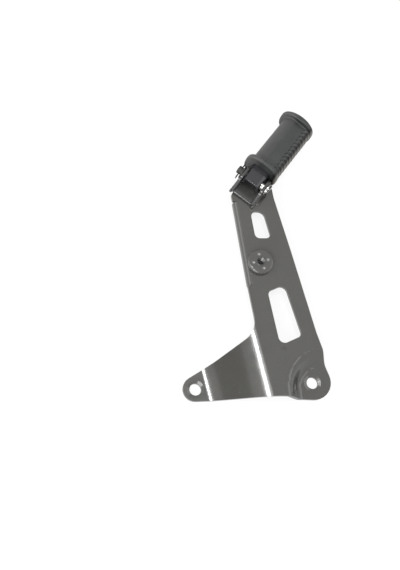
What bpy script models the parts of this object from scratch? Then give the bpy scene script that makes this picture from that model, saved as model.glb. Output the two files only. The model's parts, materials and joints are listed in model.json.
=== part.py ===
# Rear footrest bracket: a pressed steel side plate with a clevis and a folding rubber peg.
#
# Frame: the plate lies flat as on a bench, +Z up out of its outer face. It stands on the back
# faces of its two bolt ears, and the folded peg lies along the plate. Inside the script every
# size is measured from the datum, the centre of the first bolt hole on the mounting plane, with
# +X towards the second bolt hole. The last step moves the whole bracket so that its floor box
# is centred on the origin.

import math

import bmesh
import bpy
from mathutils import Matrix, Vector

MM = 0.001

# General
GAP = 0.3 * MM                    # between pieces that touch

# Side plate
SHEET = 3.2 * MM                  # sheet thickness
RECESS = 12.0 * MM                # how far the bolt ears lie behind the main face
HOLE_SPACING = 112.0 * MM         # between the two bolt holes
BOLT_HOLE_R = 5.5 * MM            # clearance for an M10 bolt
SEAT_R = 8.4 * MM                 # dished seat round each bolt hole
SEAT_DEPTH = 0.5 * MM
FIRST_EAR_R = 11.4 * MM
FIRST_EAR_SHIFT = (-0.2 * MM, 0.4 * MM)   # from the bolt hole to the ear's centre
SECOND_EAR_R = 17.3 * MM
SECOND_EAR_SHIFT = (1.0 * MM, 1.3 * MM)
ARM_TILT = math.radians(8.5)      # how far the arm's bend lines lean from +Y
ARM_LOW = 9.5 * MM                # where the arm starts to rise from the first ear
ARM_HIGH = 68.5 * MM              # where it reaches the main face
ARM_STRIPS = 18                   # facets along the arm's double bend
JOGGLE_CENTRE = (122.0 * MM, -8.0 * MM)
JOGGLE_SIZE = (22.0 * MM, 22.5 * MM)
JOGGLE_WIDTH = 16.3 * MM
JOGGLE_STEP = 2.1 * MM            # facet size on the joggle
LIP_TOP_X = 53.4 * MM             # outer face of the folded lip, at its upper end
LIP_LOW_X = 58.4 * MM             # and at its lower end
LIP_TOP_Y = 181.0 * MM
LIP_LOW_Y = 95.0 * MM
LIP_BEND_R = 4.8 * MM             # outside radius of the fold
LIP_DEPTH = 7.5 * MM              # from the main face to the lip's free edge
LIP_STEP = 0.8 * MM               # the flat edges stand this far out from the lip's face
LIP_RELIEF = 1.5 * MM             # slope of the step below the lip
PUNCH_MARK = (84.5 * MM, 31.5 * MM)
PUNCH_R = 2.0 * MM
PUNCH_DEPTH = 0.6 * MM

SMALL_WINDOW = [                  # corners and their radii
    (69.0 * MM, 170.6 * MM, 6.0 * MM), (70.9 * MM, 141.9 * MM, 5.0 * MM),
    (86.9 * MM, 141.6 * MM, 4.5 * MM), (82.4 * MM, 169.6 * MM, 7.0 * MM)]
LARGE_WINDOW = [
    (76.2 * MM, 87.2 * MM, 5.0 * MM), (81.7 * MM, 34.4 * MM, 6.0 * MM),
    (104.4 * MM, 43.0 * MM, 5.0 * MM), (94.0 * MM, 94.0 * MM, 6.0 * MM)]
LOWER_EDGE = (78.0 * MM, -12.7 * MM, 90.0 * MM)   # bend of the edge between the two ears
RIGHT_EDGE = [
    (119.8 * MM, 38.5 * MM, 110.0 * MM), (104.7 * MM, 128.0 * MM, 250.0 * MM),
    (94.6 * MM, 184.0 * MM, 10.0 * MM)]
LEFT_EDGE = [
    (61.4 * MM, 49.4 * MM, 22.0 * MM), (20.0 * MM, 24.1 * MM, 60.0 * MM)]
TOP_CORNER_Y = 188.2 * MM
TOP_CORNER_OUT = 1.6 * MM         # how far it stands out beyond the lip
CORNER_R = 4.0 * MM

# Weld nut
NUT_AT = (72.0 * MM, 116.5 * MM)
NUT_R = 12.8 * MM
NUT_HEIGHT = 4.0 * MM
NUT_BORE_R = 3.4 * MM             # core of an M8 thread
NUT_PILOT_R = 5.4 * MM            # spigot that passes through the plate
NUT_PILOT = 9.0 * MM              # its length below the plate's outer face
NUT_COLLAR_R = 5.2 * MM
NUT_COLLAR_HEIGHT = 0.8 * MM
NUT_COLLAR_SLOPE = 0.3 * MM
NUT_CHAMFER = 0.9 * MM
DIMPLE_CIRCLE_R = 8.7 * MM
DIMPLE_R = 1.4 * MM               # half its depth as a cone, before the face cuts it
DIMPLE_TIP = 0.2                  # radius of the cone's lower end, as a share of DIMPLE_R
DIMPLE_MOUTH = 1.6                # and of its upper end
DIMPLE_COUNT = 4
DIMPLE_TURN = math.radians(12.0)

# Pivot and clevis
PIVOT_AT = (73.9 * MM, 197.4 * MM)
PIVOT_HEIGHT = 11.0 * MM          # pin axis above the main face
PEG_HEADING = math.radians(48.8)  # direction of the folded peg, from +X
CLEVIS_SHEET = 3.0 * MM
CLEVIS_WIDTH = 27.2 * MM
CLEVIS_EAR_TOP = 6.0 * MM         # above the pin axis
CLEVIS_NEAR = 19.0 * MM           # from the pin axis to the clevis's near end
CLEVIS_FAR = 8.7 * MM             # and to its far end
CLEVIS_BEND_R = 4.5 * MM          # outside radius
CLEVIS_SLOPE = 9.0 * MM           # length over which the ears' tops slope down to the near end
CLEVIS_NEAR_TOP = 4.2 * MM        # ear height left at the near end, above the main face
CLEVIS_CORNER_R = 6.0 * MM
SEAT_LEFT = 10.0 * MM             # plate beside the pin axis's centre, under the clevis
SEAT_RIGHT = 17.0 * MM
FAR_END_GAP = 0.8 * MM            # between the plate's end and the folded peg's flange
CLEVIS_NEAR_R = 1.0 * MM          # rounding of the ears' lower near corner
WELD_SIZE = 1.35 * MM             # height of the bead, and its width beyond the ear
WELD_FOOT = math.radians(-62)     # where the bead meets the clevis's rounded corner, low down
WELD_CREST = math.radians(-25)    # and higher up
WELD_START = 20.6 * MM            # behind the pin axis, just past the clevis's near end
WELD_LENGTH = 21.0 * MM

# Pin, washers and cotter
PIN_R = 4.0 * MM
PIN_CLEARANCE = 0.3 * MM
PIN_HEAD_R = 6.0 * MM
PIN_HEAD = 1.9 * MM
PIN_CHAMFER = 0.6 * MM
PIN_TAIL = 1.2 * MM               # beyond the cross hole
WASHER_R = 7.0 * MM
WASHER = 1.2 * MM
COTTER_WIRE_R = 0.6 * MM
COTTER_EYE_R = 1.7 * MM
COTTER_EYE_AT = 5.9 * MM          # from the pin axis to the eye's centre
COTTER_LEG = 9.5 * MM             # from the pin axis to the tip of the longer leg
COTTER_SHORT_LEG = 8.2 * MM       # and of the shorter one
COTTER_SPLAY = 1.6 * MM
COTTER_TURN = math.radians(155.0)

# Peg core, a channel that opens downwards when the peg is folded
CORE_PLAY_LEFT = 0.6 * MM         # between the channel and the clevis's left ear
CORE_PLAY_RIGHT = 2.6 * MM        # and its right ear
CORE_HEIGHT = 12.6 * MM
CORE_SHEET = 2.5 * MM
CORE_BEND_R = 3.5 * MM            # outside radius

# Peg rubber
RUBBER_START = 11.7 * MM          # pin axis to the near flange's face
RUBBER_LENGTH = 69.3 * MM
FLANGE = 5.0 * MM
FLANGE_WIDTH = 37.0 * MM
FLANGE_HEIGHT = 33.4 * MM
FLANGE_SHIFT = 1.6 * MM           # from the clevis's middle towards the plain side
FLANGE_POWER = 2.7                # squareness of the flanges: 2 is an ellipse
FLANGE_ROUND = 1.3 * MM
DOME_R = 40.0 * MM                # radius of the domed far end
DOME_RISE = 3.6 * MM              # how far the dome stands beyond the flange's length
BODY_BACK = 15.6 * MM             # from the clevis's middle to the plain side
BODY_TREAD = 16.4 * MM            # from the clevis's middle to the crowns of the ribs
BODY_HEIGHT = 24.0 * MM
PLAIN_ROUND = 10.0 * MM           # width of the plain side's rounding
TREAD_ROUND = 6.6 * MM            # width of the ribbed side's rounding
BODY_POWER = 2.1
RIB_COUNT = 12
RIB_DEPTH = 1.7 * MM              # from the crowns of the ribs to the grooves
RIB_WIDTH = 3.0 * MM
RIB_EDGE = 0.7 * MM
RIB_BACK = 1.6 * MM               # how far the ribs reach in over the top face
SINK = 1.0 * MM                   # overlap of the shapes that make up the rubber
CORE_END_COVER = 6.0 * MM         # rubber beyond the core's far end

ARC_STEP = math.radians(12.0)
SMOOTH_BELOW = math.radians(35.0)  # edges sharper than this stay creased in the shading
CURVE_PARTS = 9                   # facets in a quarter of the rubber's outlines

# Values that follow
MAIN_TOP = RECESS + SHEET
EAR_TOP = SHEET
PIVOT_Z = MAIN_TOP + PIVOT_HEIGHT
RUBBER_END = RUBBER_START + RUBBER_LENGTH
SECOND_EAR = (HOLE_SPACING + SECOND_EAR_SHIFT[0], SECOND_EAR_SHIFT[1], SECOND_EAR_R)
EAR_OUTER = CLEVIS_WIDTH / 2
EAR_INNER = EAR_OUTER - CLEVIS_SHEET
CORE_WIDTH = 2 * EAR_INNER - CORE_PLAY_LEFT - CORE_PLAY_RIGHT
CORE_SHIFT = (CORE_PLAY_RIGHT - CORE_PLAY_LEFT) / 2
CLEVIS_FLOOR = -PIVOT_HEIGHT + GAP
HEEL = -(CLEVIS_FLOOR + CLEVIS_SHEET) - GAP
COTTER_HOLE_R = 2 * COTTER_WIRE_R + GAP + 0.2 * MM
COTTER_Y = EAR_OUTER + GAP + WASHER + GAP + COTTER_HOLE_R
PIN_HOLE_R = PIN_R + PIN_CLEARANCE


# Scene, collections, materials

def clear_scene():
    for found in list(bpy.data.objects):
        bpy.data.objects.remove(found, do_unlink=True)


def new_collection(name):
    made = bpy.data.collections.new(name)
    bpy.context.scene.collection.children.link(made)
    return made


def new_material(name, colour, roughness, metallic):
    made = bpy.data.materials.new(name)
    made.use_nodes = True
    shader = made.node_tree.nodes["Principled BSDF"]
    shader.inputs["Base Color"].default_value = (*colour, 1.0)
    shader.inputs["Roughness"].default_value = roughness
    shader.inputs["Metallic"].default_value = metallic
    return made


def new_empty(name, parent=None):
    made = bpy.data.objects.new(name, None)
    made.parent = parent
    parts.objects.link(made)
    return made


def place(name, mesh, home, parent, material=None):
    made = bpy.data.objects.new(name, mesh)
    made.parent = parent
    home.objects.link(made)
    if material:
        mesh.materials.clear()
        mesh.materials.append(material)
    else:
        made.hide_render = True
        made.display_type = "WIRE"
    return made


def smooth(made, angle):
    made.data.shade_smooth()
    made.data.set_sharp_from_angle(angle=angle)


# Flat outlines

def arc(centre, radius, start, end):
    """Points on an arc, both ends included."""
    count = max(1, math.ceil(abs(end - start) / ARC_STEP))
    turns = [start + (end - start) * i / count for i in range(count + 1)]
    return [(centre[0] + radius * math.cos(t), centre[1] + radius * math.sin(t)) for t in turns]


def fillet(before, corner, after, radius):
    """The corner rounded to the radius, or to as much of it as its two sides leave room for."""
    here = Vector(corner)
    back = Vector(before) - here
    ahead = Vector(after) - here
    half = back.angle(ahead) / 2
    if radius <= 0 or half > math.radians(89.9):
        return [corner]
    reach = min(radius / math.tan(half), 0.49 * back.length, 0.49 * ahead.length)
    radius = reach * math.tan(half)
    centre = here + (back.normalized() + ahead.normalized()).normalized() * radius / math.sin(half)
    first = here + back.normalized() * reach - centre
    last = here + ahead.normalized() * reach - centre
    start = math.atan2(first.y, first.x)
    sweep = math.atan2(first.cross(last), first.dot(last))
    return arc(centre, radius, start, start + sweep)


def rounded(corners):
    """A closed outline from corners, each given as x, y and its fillet radius."""
    points = []
    for i, (x, y, radius) in enumerate(corners):
        before = corners[i - 1][:2]
        after = corners[(i + 1) % len(corners)][:2]
        points += fillet(before, (x, y), after, radius)
    return points


def tangent(first, second):
    """Where a line touches two circles that both lie on its left, each as x, y and radius."""
    run = Vector(second[:2]) - Vector(first[:2])
    heading = math.atan2(run.y, run.x) - math.asin((second[2] - first[2]) / run.length)
    left = Vector((-math.sin(heading), math.cos(heading)))
    return [tuple(Vector(c[:2]) - left * c[2]) for c in (first, second)]


def around(circle, arriving, leaving):
    """The arc round a circle, anticlockwise, between two of its points."""
    start = math.atan2(arriving[1] - circle[1], arriving[0] - circle[0])
    end = math.atan2(leaving[1] - circle[1], leaving[0] - circle[0])
    if end < start:
        end += 2 * math.pi
    return arc(circle[:2], circle[2], start, end)


def circle(centre, radius):
    return arc(centre, radius, 0.0, 2 * math.pi)[:-1]


def sheet_mesh(name, outline, thickness=0.0):
    """A flat outline filled as a 2D curve and made a mesh, its thickness split about z = 0."""
    curve = bpy.data.curves.new(name, "CURVE")
    curve.dimensions = "2D"
    curve.fill_mode = "BOTH" if thickness else "FRONT"
    curve.extrude = thickness / 2
    spline = curve.splines.new("POLY")
    spline.points.add(len(outline) - 1)
    for point, (x, y) in zip(spline.points, outline):
        point.co = (x, y, 0.0, 1.0)
    spline.use_cyclic_u = True
    drawn = bpy.data.objects.new(name, curve)
    bpy.context.scene.collection.objects.link(drawn)
    bpy.context.view_layer.update()
    mesh = bpy.data.meshes.new_from_object(drawn.evaluated_get(bpy.context.evaluated_depsgraph_get()))
    bpy.data.objects.remove(drawn, do_unlink=True)
    bpy.data.curves.remove(curve)
    bm = bmesh.new()
    bm.from_mesh(mesh)
    bmesh.ops.remove_doubles(bm, verts=bm.verts, dist=0.00001)
    bmesh.ops.dissolve_limit(bm, angle_limit=0.001, verts=bm.verts, edges=bm.edges)
    bmesh.ops.recalc_face_normals(bm, faces=bm.faces)
    bm.to_mesh(mesh)
    bm.free()
    return mesh


def prism(name, outline, low, high, along="Z"):
    """An outline swept from low to high. Along X its two coordinates are y, z; along Y, x, z."""
    mesh = sheet_mesh(name, outline, high - low)
    mesh.transform(Matrix.Translation((0, 0, (low + high) / 2)))
    if along == "X":
        mesh.transform(Matrix(((0, 0, 1, 0), (1, 0, 0, 0), (0, 1, 0, 0), (0, 0, 0, 1))))
    if along == "Y":
        mesh.transform(Matrix(((1, 0, 0, 0), (0, 0, -1, 0), (0, 1, 0, 0), (0, 0, 0, 1))))
    return mesh


def turned(name, profile, segments, home, parent, material=None):
    """A closed profile of radius and height, turned about Z with a Screw modifier."""
    mesh = bpy.data.meshes.new(name)
    points = [(radius, 0.0, height) for radius, height in profile]
    edges = [(i, (i + 1) % len(points)) for i in range(len(points))]
    mesh.from_pydata(points, edges, [])
    made = place(name, mesh, home, parent, material)
    screw = made.modifiers.new("Turn", "SCREW")
    screw.steps = segments
    screw.render_steps = segments
    screw.use_merge_vertices = True
    screw.merge_threshold = 0.00001
    screw.use_smooth_shade = True
    return made


def cut(target, cutter, operation="DIFFERENCE"):
    step = target.modifiers.new(cutter.name, "BOOLEAN")
    step.operation = operation
    step.solver = "EXACT"
    step.object = cutter


def soften(target, width, segments=1, angle=35.0):
    bevel = target.modifiers.new("Edges", "BEVEL")
    bevel.width = width
    bevel.segments = segments
    bevel.limit_method = "ANGLE"
    bevel.angle_limit = math.radians(angle)


# Side plate

def beside_pivot(along, across):
    """A point in plan, measured along the folded peg and to its right from the pivot."""
    ahead = Vector((math.cos(PEG_HEADING), math.sin(PEG_HEADING)))
    right = Vector((ahead.y, -ahead.x))
    return tuple(Vector(PIVOT_AT) + ahead * along + right * across)


def lip_line(y, inset):
    """x of the lip's outer face at height y, moved inwards by the inset."""
    share = (y - LIP_LOW_Y) / (LIP_TOP_Y - LIP_LOW_Y)
    return LIP_LOW_X + (LIP_TOP_X - LIP_LOW_X) * share + inset


def plate_outline():
    first = (*FIRST_EAR_SHIFT, FIRST_EAR_R)
    far_end = RUBBER_START - FAR_END_GAP
    upper = RIGHT_EDGE + [
        (*beside_pivot(far_end, SEAT_RIGHT), CORNER_R),
        (*beside_pivot(far_end, -SEAT_LEFT), CORNER_R),
        (lip_line(LIP_TOP_Y, -TOP_CORNER_OUT), TOP_CORNER_Y, CORNER_R),
        (lip_line(LIP_TOP_Y, -LIP_STEP), LIP_TOP_Y, 0.0),
        (lip_line(LIP_TOP_Y, LIP_BEND_R), LIP_TOP_Y, 0.0),
        (lip_line(LIP_LOW_Y, LIP_BEND_R), LIP_LOW_Y, 0.0),
        (lip_line(LIP_LOW_Y, -LIP_STEP), LIP_LOW_Y - LIP_RELIEF, 0.0),
    ] + LEFT_EDGE
    to_lower = tangent(first, (*LOWER_EDGE[:2], 0.0))
    from_lower = tangent((*LOWER_EDGE[:2], 0.0), SECOND_EAR)
    to_upper = tangent(SECOND_EAR, (*upper[0][:2], 0.0))
    to_first = tangent((*upper[-1][:2], 0.0), first)
    points = around(first, to_first[1], to_lower[0])
    points += fillet(to_lower[0], LOWER_EDGE[:2], from_lower[1], LOWER_EDGE[2])
    points += around(SECOND_EAR, from_lower[1], to_upper[0])
    for i, (x, y, radius) in enumerate(upper):
        before = upper[i - 1][:2] if i else to_upper[0]
        after = upper[i + 1][:2] if i + 1 < len(upper) else to_first[1]
        points += fillet(before, (x, y), after, radius)
    return points


def arm_height(station):
    """Height of the sheet's outer face along the arm, whose slope grows and fades evenly."""
    share = min(max((station - ARM_LOW) / (ARM_HIGH - ARM_LOW), 0.0), 1.0)
    swing = math.acos(1 - 2 * share)
    return EAR_TOP + RECESS * (swing - math.sin(swing) * math.cos(swing)) / math.pi


def joggle_height(x, y):
    """Height of the sheet's outer face near the second ear, a soft step round an oval seat."""
    across = (x - JOGGLE_CENTRE[0]) / JOGGLE_SIZE[0]
    up = (y - JOGGLE_CENTRE[1]) / JOGGLE_SIZE[1]
    share = (math.hypot(across, up) - 1) * JOGGLE_SIZE[0] / JOGGLE_WIDTH
    share = min(max(share, 0.0), 1.0)
    return EAR_TOP + RECESS * share * share * (3 - 2 * share)


def split(bm, point, normal, inside=None):
    faces = [f for f in bm.faces if inside is None or inside(f.calc_center_median())]
    near = set(faces)
    near.update(e for f in faces for e in f.edges)
    near.update(v for f in faces for v in f.verts)
    bmesh.ops.bisect_plane(bm, geom=list(near), dist=0.000001, plane_co=point, plane_no=normal)


def crease_lines(bm):
    """Cuts the flat blank wherever the sheet will bend."""
    normal = Vector((math.cos(ARM_TILT), math.sin(ARM_TILT), 0))
    for i in range(ARM_STRIPS + 1):
        share = (1 - math.cos(math.pi * i / ARM_STRIPS)) / 2
        split(bm, normal * (ARM_LOW + (ARM_HIGH - ARM_LOW) * share), normal)
    left = JOGGLE_CENTRE[0] - JOGGLE_SIZE[0] - JOGGLE_WIDTH
    top = JOGGLE_CENTRE[1] + JOGGLE_SIZE[1] * (1 + JOGGLE_WIDTH / JOGGLE_SIZE[0])
    across = Vector((1, 0, 0))
    up = Vector((0, 1, 0))
    split(bm, across * left, across)
    split(bm, up * top, up)

    def near_ear(point):
        return point.x > left and point.y < top

    right = SECOND_EAR[0] + SECOND_EAR_R
    for i in range(1, math.ceil((right - left) / JOGGLE_STEP)):
        split(bm, across * (left + i * JOGGLE_STEP), across, near_ear)
    for i in range(1, math.ceil((top + SECOND_EAR_R) / JOGGLE_STEP)):
        split(bm, up * (top - i * JOGGLE_STEP), up, near_ear)


def fold_lip(bm):
    """Turns the blank's left edge down through a right angle and carries it on as a flat lip."""
    low = Vector((lip_line(LIP_LOW_Y, LIP_BEND_R), LIP_LOW_Y, 0))
    top = Vector((lip_line(LIP_TOP_Y, LIP_BEND_R), LIP_TOP_Y, 0))
    along = (top - low).normalized()
    reach = (top - low).length
    near = 0.01 * MM

    def on_line(vert):
        flat = Vector((vert.co.x, vert.co.y, 0)) - low
        return abs(flat.cross(along).z) < near and -near < flat.dot(along) < reach + near

    edges = [e for e in bm.edges if e.is_boundary and all(on_line(v) for v in e.verts)]
    turned_edges = bmesh.ops.spin(
        bm, geom=edges, cent=low + Vector((0, 0, MAIN_TOP - LIP_BEND_R)), axis=-along,
        angle=math.radians(90), steps=6)["geom_last"]
    last = [g for g in turned_edges if isinstance(g, bmesh.types.BMEdge)]
    grown = bmesh.ops.extrude_edge_only(bm, edges=last)["geom"]
    free = [g for g in grown if isinstance(g, bmesh.types.BMVert)]
    bmesh.ops.translate(bm, verts=free, vec=(0, 0, LIP_BEND_R - LIP_DEPTH))


def window_cutter(name, corners):
    mesh = prism(name, rounded(corners), -SHEET, MAIN_TOP + SHEET)
    return place(name, mesh, cutters, bracket)


def hole_cutter(name, at, radius, low=-SHEET, high=MAIN_TOP + SHEET):
    return place(name, prism(name, circle(at, radius), low, high), cutters, bracket)


def seat_cutter(name, at):
    """A cone that sinks the sheet round a bolt hole, as the bolt's head would press it."""
    rise = SEAT_DEPTH / (SEAT_R - BOLT_HOLE_R)
    wide = SEAT_R + SHEET
    profile = [(0, EAR_TOP + SHEET * rise), (wide, EAR_TOP + SHEET * rise),
               (0, EAR_TOP - SEAT_R * rise)]
    cone = turned(name, profile, 32, cutters, bracket)
    cone.location = (*at, 0)
    return cone


def make_side_plate():
    mesh = sheet_mesh("side_plate", plate_outline())
    bm = bmesh.new()
    bm.from_mesh(mesh)
    crease_lines(bm)
    bmesh.ops.triangulate(bm, faces=bm.faces)
    for vert in bm.verts:
        station = vert.co.x * math.cos(ARM_TILT) + vert.co.y * math.sin(ARM_TILT)
        vert.co.z = min(arm_height(station), joggle_height(vert.co.x, vert.co.y))
    fold_lip(bm)
    bmesh.ops.recalc_face_normals(bm, faces=bm.faces)
    if sum(f.normal.z for f in bm.faces) < 0:
        bmesh.ops.reverse_faces(bm, faces=bm.faces)
    bm.to_mesh(mesh)
    bm.free()
    paint = new_material("plate_paint", (0.13, 0.125, 0.115), 0.25, 0.6)
    plate = place("side_plate", mesh, parts, bracket, paint)
    thick = plate.modifiers.new("Sheet", "SOLIDIFY")
    thick.thickness = SHEET
    thick.offset = -1.0
    thick.use_even_offset = True
    cut(plate, window_cutter("small_window", SMALL_WINDOW))
    cut(plate, window_cutter("large_window", LARGE_WINDOW))
    for name, at in (("first", (0.0, 0.0)), ("second", (HOLE_SPACING, 0.0))):
        cut(plate, hole_cutter(name + "_bolt_hole", at, BOLT_HOLE_R))
        cut(plate, seat_cutter(name + "_seat", at))
    cut(plate, hole_cutter("nut_hole", NUT_AT, NUT_PILOT_R + GAP))
    mark = hole_cutter("punch_mark", PUNCH_MARK, PUNCH_R, MAIN_TOP - PUNCH_DEPTH, MAIN_TOP + SHEET)
    cut(plate, mark)
    return plate


def make_weld_nut():
    base = MAIN_TOP + GAP
    top = base + NUT_HEIGHT
    profile = [
        (NUT_R, base), (NUT_PILOT_R, base), (NUT_PILOT_R, MAIN_TOP - NUT_PILOT),
        (NUT_BORE_R, MAIN_TOP - NUT_PILOT), (NUT_BORE_R, top + NUT_COLLAR_HEIGHT),
        (NUT_COLLAR_R - NUT_COLLAR_SLOPE, top + NUT_COLLAR_HEIGHT), (NUT_COLLAR_R, top),
        (NUT_R - NUT_CHAMFER, top), (NUT_R, top - NUT_CHAMFER)]
    paint = new_material("nut_paint", (0.14, 0.135, 0.125), 0.3, 0.6)
    nut = turned("weld_nut", profile, 40, parts, bracket, paint)
    nut.location = (*NUT_AT, 0)
    for i in range(DIMPLE_COUNT):
        turn = DIMPLE_TURN + 2 * math.pi * i / DIMPLE_COUNT
        bm = bmesh.new()
        bmesh.ops.create_cone(bm, cap_ends=True, segments=12, radius1=DIMPLE_TIP * DIMPLE_R,
                              radius2=DIMPLE_MOUTH * DIMPLE_R, depth=2 * DIMPLE_R)
        mesh = bpy.data.meshes.new(f"dimple_{i}")
        bm.to_mesh(mesh)
        bm.free()
        dimple = place(f"dimple_{i}", mesh, cutters, nut)
        dimple.location = (DIMPLE_CIRCLE_R * math.cos(turn), DIMPLE_CIRCLE_R * math.sin(turn), top)
        cut(nut, dimple)
    return nut


# Clevis and its welds. Local +X runs along the folded peg, +Y to its left, from the pivot.

def channel(width, low, top, sheet, bend):
    """Section of a channel that opens upwards: y and z, anticlockwise."""
    half = width / 2
    inner = max(bend - sheet, 0.2 * MM)
    return rounded([
        (-half, top, 0), (-half, low, bend), (half, low, bend), (half, top, 0),
        (half - sheet, top, 0), (half - sheet, low + sheet, inner),
        (-half + sheet, low + sheet, inner), (-half + sheet, top, 0)])


def make_clevis():
    section = channel(CLEVIS_WIDTH, CLEVIS_FLOOR, CLEVIS_EAR_TOP, CLEVIS_SHEET, CLEVIS_BEND_R)
    dark = new_material("clevis_paint", (0.05, 0.05, 0.048), 0.3, 0.6)
    clevis = place("clevis", prism("clevis", section, -CLEVIS_NEAR, CLEVIS_FAR, "X"),
                   parts, pivot, dark)
    smooth(clevis, SMOOTH_BELOW)
    side = rounded([
        (-CLEVIS_NEAR - GAP, CLEVIS_FLOOR - GAP, 0), (CLEVIS_FAR + GAP, CLEVIS_FLOOR - GAP, 0),
        (CLEVIS_FAR, CLEVIS_EAR_TOP, CLEVIS_CORNER_R),
        (CLEVIS_SLOPE - CLEVIS_NEAR, CLEVIS_EAR_TOP, CLEVIS_CORNER_R),
        (-CLEVIS_NEAR, CLEVIS_NEAR_TOP - PIVOT_HEIGHT, CLEVIS_NEAR_R)])
    keep = place("ear_shape", prism("ear_shape", side, -CLEVIS_WIDTH, CLEVIS_WIDTH, "Y"),
                 cutters, pivot)
    cut(clevis, keep, "INTERSECT")
    bore = place("clevis_bore", prism("clevis_bore", circle((0, 0), PIN_HOLE_R),
                                      -CLEVIS_WIDTH, CLEVIS_WIDTH, "Y"), cutters, pivot)
    cut(clevis, bore)
    return clevis


def make_weld(name, side):
    """A bead that fills the groove between the plate and the clevis's rounded corner."""
    low = CLEVIS_FLOOR
    corner = (EAR_OUTER - CLEVIS_BEND_R, low + CLEVIS_BEND_R)
    hollow = arc(corner, CLEVIS_BEND_R + GAP, WELD_FOOT, WELD_CREST)
    toe = (EAR_OUTER + GAP + WELD_SIZE, low)
    crown = (EAR_OUTER + GAP + WELD_SIZE, low + WELD_SIZE)
    section = [(hollow[0][0], low)] + hollow + [crown, toe]
    if side < 0:
        section = [(-y, z) for y, z in reversed(section)]
    mesh = prism(name, section, -WELD_START, WELD_LENGTH - WELD_START, "X")
    steel = new_material(name + "_paint", (0.1, 0.1, 0.095), 0.4, 0.6)
    return place(name, mesh, parts, pivot, steel)


# Pin, washers and cotter. They are turned about Z and laid along the pivot's Y.

LAID = Matrix.Rotation(math.radians(90), 4, "X")


def make_pin():
    under_head = EAR_OUTER + GAP + WASHER + GAP
    tail = COTTER_Y + COTTER_HOLE_R + PIN_TAIL
    profile = [
        (0, under_head + PIN_HEAD), (PIN_HEAD_R - PIN_CHAMFER, under_head + PIN_HEAD),
        (PIN_HEAD_R, under_head + PIN_HEAD - PIN_CHAMFER), (PIN_HEAD_R, under_head),
        (PIN_R, under_head), (PIN_R, -tail + PIN_CHAMFER), (PIN_R - PIN_CHAMFER, -tail), (0, -tail)]
    zinc = new_material("pin_zinc", (0.75, 0.75, 0.74), 0.25, 1.0)
    pin = turned("pivot_pin", profile, 24, parts, pivot, zinc)
    pin.matrix_local = LAID
    hole = place("cotter_hole", prism("cotter_hole", circle((0, 0), COTTER_HOLE_R),
                                      -2 * PIN_R, 2 * PIN_R, "X"), cutters, pivot)
    hole.matrix_local = Matrix.Translation((0, COTTER_Y, 0)) @ Matrix.Rotation(COTTER_TURN, 4, "Y")
    cut(pin, hole)
    return pin


def make_washer(name, inner_face):
    """A plain washer; its bore is the ears' bore."""
    low, high = sorted((inner_face, inner_face + math.copysign(WASHER, inner_face)))
    profile = [(PIN_HOLE_R, high), (WASHER_R, high), (WASHER_R, low), (PIN_HOLE_R, low)]
    zinc = new_material(name + "_zinc", (0.72, 0.72, 0.7), 0.3, 1.0)
    washer = turned(name, profile, 32, parts, pivot, zinc)
    washer.matrix_local = LAID
    return washer


def make_cotter():
    """One wire: out along the first leg, round the eye and back along the second."""
    beside = COTTER_WIRE_R + GAP / 2
    eye = (-COTTER_EYE_AT, 0.0)
    opening = math.asin(beside / COTTER_EYE_R)
    bend_at = PIN_R + 2 * COTTER_WIRE_R
    path = [(COTTER_LEG, beside + COTTER_SPLAY), (bend_at, beside)]
    path += arc(eye, COTTER_EYE_R, opening, 2 * math.pi - opening)
    path += [(bend_at, -beside), (COTTER_SHORT_LEG, -beside - COTTER_SPLAY)]
    curve = bpy.data.curves.new("cotter_pin", "CURVE")
    curve.dimensions = "3D"
    curve.bevel_depth = COTTER_WIRE_R
    curve.bevel_resolution = 2
    curve.use_fill_caps = True
    spline = curve.splines.new("POLY")
    spline.points.add(len(path) - 1)
    for point, (x, z) in zip(spline.points, path):
        point.co = (x, 0.0, z, 1.0)
    wire = bpy.data.objects.new("cotter_pin", curve)
    wire.parent = pivot
    wire.matrix_local = Matrix.Translation((0, COTTER_Y, 0)) @ Matrix.Rotation(COTTER_TURN, 4, "Y")
    curve.materials.append(new_material("cotter_zinc", (0.7, 0.7, 0.68), 0.35, 1.0))
    parts.objects.link(wire)
    return wire


# Folding peg. Local +X runs along the peg, from the pin axis.

def make_core():
    """A channel open below, its heel rounded about the pin so that it clears the clevis floor."""
    half = CORE_HEIGHT / 2
    section = [(CORE_SHIFT - y, -z) for y, z in
               channel(CORE_WIDTH, -half, half, CORE_SHEET, CORE_BEND_R)]
    end = RUBBER_END - CORE_END_COVER
    black = new_material("core_paint", (0.03, 0.03, 0.03), 0.35, 0.5)
    core = place("peg_core", prism("peg_core", section, -HEEL, end, "X"), parts, pivot, black)
    smooth(core, SMOOTH_BELOW)
    foot = math.asin(half / HEEL)
    heel = arc((0, 0), HEEL, math.pi, math.pi + foot)
    side = heel + [(end + GAP, -half - GAP), (end + GAP, half + GAP), (-HEEL, half + GAP)]
    side.insert(len(heel), (heel[-1][0], -half - GAP))
    keep = place("heel_shape", prism("heel_shape", side, -CORE_WIDTH, CORE_WIDTH, "Y"),
                 cutters, pivot)
    cut(core, keep, "INTERSECT")
    bore = place("core_bore", prism("core_bore", circle((0, 0), PIN_HOLE_R),
                                    -CORE_WIDTH, CORE_WIDTH, "Y"), cutters, pivot)
    cut(core, bore)
    return core


def quarter(centre, size, power, turn):
    """A quarter of a superellipse, anticlockwise from the given number of quarter turns."""
    points = []
    for i in range(CURVE_PARTS + 1):
        angle = math.pi / 2 * (turn + i / CURVE_PARTS)
        c = math.cos(angle)
        s = math.sin(angle)
        x = math.copysign(abs(c) ** (2 / power), c) * size[0]
        y = math.copysign(abs(s) ** (2 / power), s) * size[1]
        points.append((centre[0] + x, centre[1] + y))
    return points


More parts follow.
